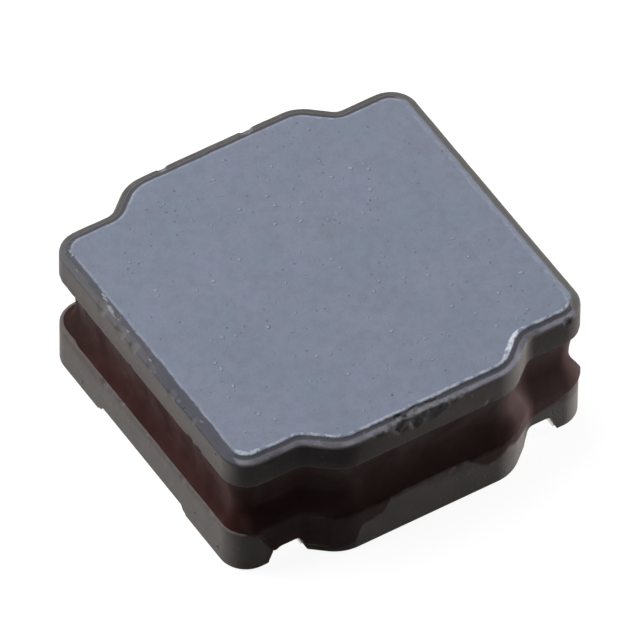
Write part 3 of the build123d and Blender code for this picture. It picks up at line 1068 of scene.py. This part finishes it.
# %% Paint the resin
resin_finish = Finish("magnetic_resin")
resin_x, resin_y = resin_finish.axes()[:2]
clouds = resin_finish.noise(3.4, 4.0, 0.6)
streaks = resin_finish.noise(6.0, 4.0, 0.6, place=stretched(resin_finish, 1.0, 1.0, 3.2))
powder = resin_finish.noise(55.0, 3.0, 0.7)
flecks = dots(resin_finish, 14.0, 0.16, 0.18, 2.3)

resin_finish.colour = resin_finish.mix(resin_finish.between(clouds, 0.35, 0.68),
                                       (0.040, 0.0138, 0.0125), (0.028, 0.0098, 0.0090))
resin_finish.paint(resin_finish.between(streaks, 0.52, 0.75) * 0.08, (0.060, 0.028, 0.025))
# painted shade: the back half of the resin is darker and less red
resin_finish.paint(resin_finish.between(resin_y, 0.55, 1.15) * 0.6, (0.019, 0.0120, 0.0100))
front_face = 1 - resin_finish.between(resin_y, -1.30, -1.10)
# painted shade on the front of the resin
resin_finish.paint(front_face * 0.75, (0.0225, 0.0125, 0.0110))
# painted light at the right end of the resin's front
resin_right_light = front_face * resin_finish.between(resin_x + 0.2 * (clouds - 0.5), 0.62, 0.95)
resin_finish.paint(resin_right_light * 0.8, (0.100, 0.062, 0.060))
resin_finish.paint(flecks * 0.25, (0.12, 0.08, 0.07))
resin_finish.set(Base_Color=resin_finish.colour, IOR=1.5, Specular_IOR_Level=0.04)
resin_finish.set(Roughness=0.42 + 0.22 * resin_finish.between(clouds, 0.3, 0.7) + 0.06 * powder)
resin_finish.height(powder * 0.4 + streaks * 0.2 + flecks * 0.5, 0.4, 0.006)
resin_finish.dress(resin)

# %% [markdown]
# ## Copper
# The coil can't be seen, but it is there and keeps its own finish. A mesh of its own would add nothing
# here, so the CAD piece stays as it is and only gets a material: copper under clear enamel, which the
# shader's coat stands for.


# %% Dress the winding
def repaint(node, finish):
    """Give a CAD node that stays as it is a finish in all its slots."""
    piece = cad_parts[node]
    for slot in piece.material_slots:
        slot.material = finish.material
    print(node, "has", len(piece.material_slots), "slots of", finish.material.name)


copper = Finish("enamelled_copper")
shade = copper.noise(9.0, 3.0, 0.6)
copper.set(Base_Color=copper.mix(shade, (0.62, 0.24, 0.09), (0.46, 0.15, 0.06)), Metallic=1.0)
copper.set(Roughness=0.24 + 0.14 * shade, Coat_Weight=0.6, Coat_Roughness=0.1)
copper.height(copper.noise(40.0, 2.0), 0.2, 0.003)
repaint("winding", copper)

# %% [markdown]
# ## Plating and solder
# The terminals are tin plating on silver, satin with fine scratches along Y. The solder froze in small
# cells, which a cell pattern draws, and is duller in patches where flux lay on it.

# %% Dress the terminals
plating = Finish("terminal_plating")
scuffs = plating.noise(24.0, 3.0, 0.6, place=stretched(plating, 1.0, 0.18, 1.0))
crystals = plating.noise(70.0, 2.0, 0.6)
plating.set(Base_Color=plating.mix(scuffs, (0.74, 0.72, 0.68), (0.58, 0.57, 0.55)), Metallic=1.0)
plating.set(Roughness=0.30 + 0.22 * crystals)
plating.height(scuffs * 0.6 + crystals * 0.4, 0.4, 0.003)
for word in ("left", "right"):
    repaint(f"terminal_{word}", plating)

# %% Dress the solder
solder_finish = Finish("solder")
cells = solder_finish.node("TexVoronoi", {"feature": "F1"},
                           {"Vector": solder_finish.place, "Scale": 16.0}, "Distance")
dull = solder_finish.noise(12.0, 3.0, 0.6)
solder_colour = solder_finish.mix(dull, (0.68, 0.68, 0.67), (0.50, 0.50, 0.50))
solder_finish.set(Base_Color=solder_colour, Metallic=1.0)
solder_finish.set(Roughness=0.22 + 0.25 * dull)
solder_finish.height(cells + dull * 0.4, 0.35, 0.006)
for fill in solder_fills.values():
    solder_finish.dress(fill)

# %% [markdown]
# ## Floor and surroundings
# The part was photographed on white. More light would also bleach the part, so the floor and the world
# show themselves as white only to the rays that look at them, straight or by way of gloss and glass.
# For the light itself both stay dim, and the floor keeps a faint shadow.


# %% Lay the floor
def seen_share(network):
    """1 for a ray that looks at the surface, and 0 for the light that the surface sends on."""
    rays = network.node("LightPath", {}, {}, "Is Camera Ray")
    return rays.most(rays.output("Is Glossy Ray")).most(rays.output("Is Transmission Ray"))


floor_size = 0.2
floor_corners = [(-1, -1), (1, -1), (1, 1), (-1, 1)]
floor_mesh = bpy.data.meshes.new("floor")
floor_mesh.from_pydata([(x * floor_size, y * floor_size, 0) for x, y in floor_corners], [], [(0, 1, 2, 3)])
floor = bpy.data.objects.new("floor", floor_mesh)
bpy.context.collection.objects.link(floor)

paper = Finish("floor_paper")
paper.set(Base_Color=paper.mix(paper.noise(0.8, 2.0), (0.19, 0.19, 0.19), (0.18, 0.18, 0.18)))
paper.set(Roughness=0.9, Specular_IOR_Level=0.0, Emission_Strength=0.92)
paper.set(Emission_Color=paper.mix(seen_share(paper), (0, 0, 0), (1, 1, 1)))
paper.dress(floor)

# %% Set the world
world = bpy.data.worlds.new("studio")
bpy.context.scene.world = world
world.use_nodes = True
studio = Network(world.node_tree)
background = studio.tree.nodes["Background"]
studio.put(background.inputs["Color"], studio.mix(seen_share(studio), (0.025, 0.025, 0.027), (1, 1, 1)))
studio.put(background.inputs["Strength"], 1.0)
print("world nodes", len(studio.tree.nodes))

# %% [markdown]
# ## Lamps
# The light in the photograph is soft and comes from the upper left. A wide lamp above and behind gives
# the top its sheen, a weaker one lights the left side, and a small card brightens the right end of the
# front, which otherwise stays in shadow. Area lamps are used, since their size makes a shadow soft.


# %% Hang the lamps
def soft_lamp(name, place, aim, size, power, colour):
    """A square area lamp at a place in mm, turned towards aim."""
    data = bpy.data.lights.new(name, "AREA")
    data.shape, data.size, data.energy, data.color = "SQUARE", size * MM, power, colour
    lamp = bpy.data.objects.new(name, data)
    lamp.location = Vector(place) * MM
    lamp.rotation_mode = "QUATERNION"
    lamp.rotation_quaternion = (Vector(aim) - Vector(place)).to_track_quat("-Z", "Y")
    bpy.context.collection.objects.link(lamp)
    print(name, "is", size, "mm wide and has", power, "W")


middle_of_part = (0, 0, 0.6)
front_of_part = (0, -0.8, 0.4)
soft_lamp("top_light", (-16, 26, 48), middle_of_part, 50, 0.0430, (0.95, 0.97, 1.0))
soft_lamp("left_light", (-48, 40, 13), middle_of_part, 20, 0.0140, (1.0, 0.975, 0.945))
soft_lamp("right_card", (10, -2.2, 0.8), front_of_part, 2.5, 0.00140, (1.0, 0.985, 0.97))

# %% [markdown]
# ## Camera
# The photograph was taken from afar with a long lens, so parallel edges stay nearly parallel. The
# angles, the distance and the lens were fitted to the part's edges in the photograph. The camera's
# axes are worked out from the angles and written straight into its matrix.

# %% Place the camera
image_side = 640
sensor = 36.0
lens_in_pixels = 15604.0
image_middle = (318.9, 320.61)
azimuth, elevation, roll = math.radians(-32.42), math.radians(48.43), math.radians(0.675)
aim = Vector((0, 0, 0.675))
distance = 112.5

back_way = Vector((math.sin(azimuth) * math.cos(elevation), -math.cos(azimuth) * math.cos(elevation),
                   math.sin(elevation)))
right_way = Vector((math.cos(azimuth), math.sin(azimuth), 0))
up_way = back_way.cross(right_way)
right_rolled = right_way * math.cos(roll) + up_way * math.sin(roll)
up_rolled = up_way * math.cos(roll) - right_way * math.sin(roll)
eye = aim + back_way * distance

camera_data = bpy.data.cameras.new("camera")
camera_data.sensor_width = sensor
camera_data.lens = lens_in_pixels / image_side * sensor
camera_data.shift_x = (image_side / 2 - image_middle[0]) / image_side
camera_data.shift_y = (image_middle[1] - image_side / 2) / image_side
camera_data.clip_start, camera_data.clip_end = 0.01, 1.0
camera = bpy.data.objects.new("camera", camera_data)
rows = [(right_rolled[i], up_rolled[i], back_way[i], eye[i] * MM) for i in range(3)]
camera.matrix_world = Matrix(rows + [(0, 0, 0, 1)])
bpy.context.collection.objects.link(camera)
bpy.context.scene.camera = camera
bpy.context.scene.view_settings.view_transform = "Standard"
print("lens", round(camera_data.lens, 1), "mm, eye at", [round(v, 1) for v in eye], "mm")

# %% [markdown]
# ## Last update
# The view layer is updated once more at the end. The dressed model must stay inside the CAD model's
# box.

# %% Update the view layer
bpy.context.view_layer.update()
